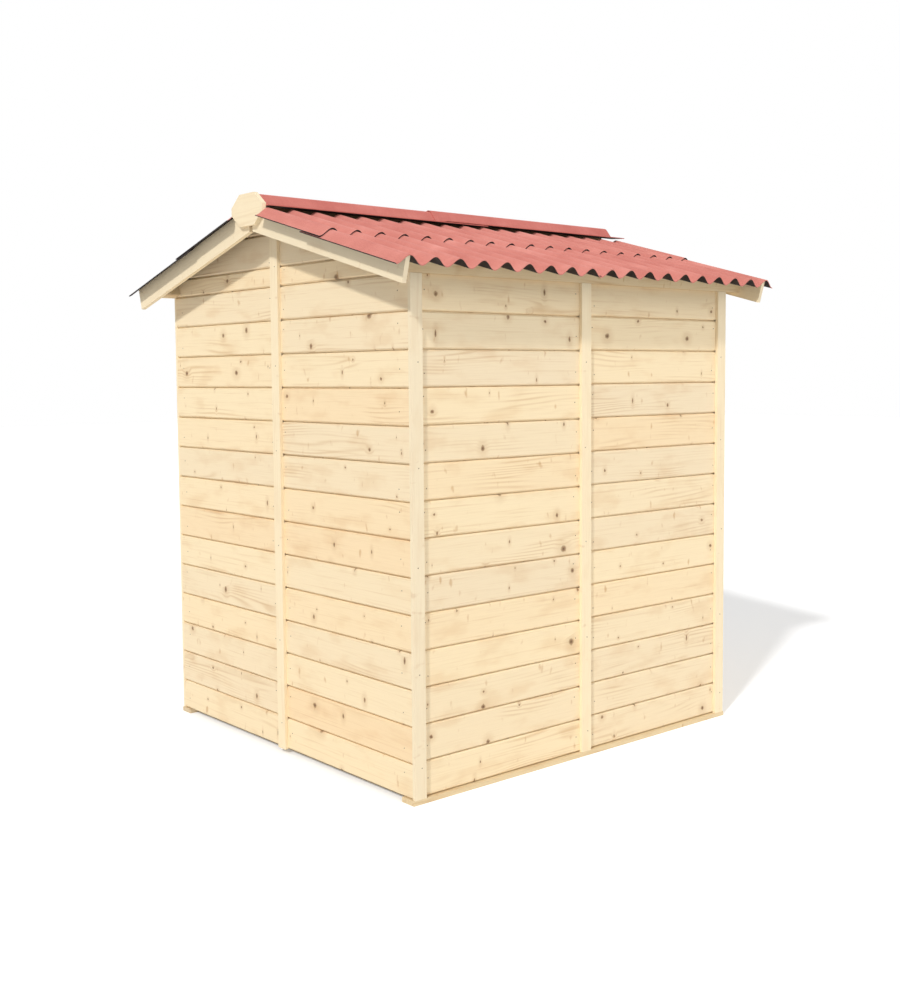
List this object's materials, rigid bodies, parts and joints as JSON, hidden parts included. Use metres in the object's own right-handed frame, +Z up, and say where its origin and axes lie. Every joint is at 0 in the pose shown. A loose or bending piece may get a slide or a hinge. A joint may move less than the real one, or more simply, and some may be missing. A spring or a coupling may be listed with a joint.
{
  "type": "wooden garden shed",
  "caption": "Small wooden garden shed with horizontal boards in framed wall panels, cover strips, a boarded door and a corrugated gable roof with ridge caps.",
  "frame": {"origin": "on the ground under the middle of the shed", "axes": "+Z up; +Y along the ridge, from the door gable to the rear gable; +X to the right of someone facing the door"},
  "size_m": [1.7122, 1.805, 1.9486],
  "materials": {
    "wall_boards": "planed untreated spruce boards",
    "trim_boards": "planed untreated spruce strips",
    "frame_timber": "sawn untreated spruce",
    "roof_sheet": "matte red bituminous fibre sheet",
    "hinge_steel": "dull galvanised steel"
  },
  "bodies": {
    "root": {"front_sole": "frame_timber", "rear_sole": "frame_timber", "left_sole": "frame_timber", "right_sole": "frame_timber", "wall_posts": "frame_timber", "door_head": "frame_timber", "left_wall_front_panel": "wall_boards", "left_wall_rear_panel": "wall_boards", "right_wall_front_panel": "wall_boards", "right_wall_rear_panel": "wall_boards", "rear_gable_left_panel": "wall_boards", "rear_gable_right_panel": "wall_boards", "front_gable_left_panel": "wall_boards", "front_gable_right_panel": "wall_boards", "front_gable_head_panel": "wall_boards", "door_leaf": "wall_boards", "door_hinges": "hinge_steel", "door_turn_button": "trim_boards", "left_wall_strip": "trim_boards", "right_wall_strip": "trim_boards", "rear_gable_strip": "trim_boards", "front_gable_strip": "trim_boards", "front_left_corner_strip": "trim_boards", "front_right_corner_strip": "trim_boards", "rear_left_corner_strip": "trim_boards", "rear_right_corner_strip": "trim_boards", "left_purlins": "frame_timber", "right_purlins": "frame_timber", "ridge_board": "frame_timber", "front_left_barge": "trim_boards", "front_right_barge": "trim_boards", "rear_left_barge": "trim_boards", "rear_right_barge": "trim_boards", "front_gable_plate": "trim_boards", "rear_gable_plate": "trim_boards", "left_lower_rear_sheet": "roof_sheet", "left_lower_front_sheet": "roof_sheet", "left_upper_rear_sheet": "roof_sheet", "left_upper_front_sheet": "roof_sheet", "right_lower_rear_sheet": "roof_sheet", "right_lower_front_sheet": "roof_sheet", "right_upper_rear_sheet": "roof_sheet", "right_upper_front_sheet": "roof_sheet", "rear_ridge_cap": "roof_sheet", "front_ridge_cap": "roof_sheet"}
  },
  "joints": []
}
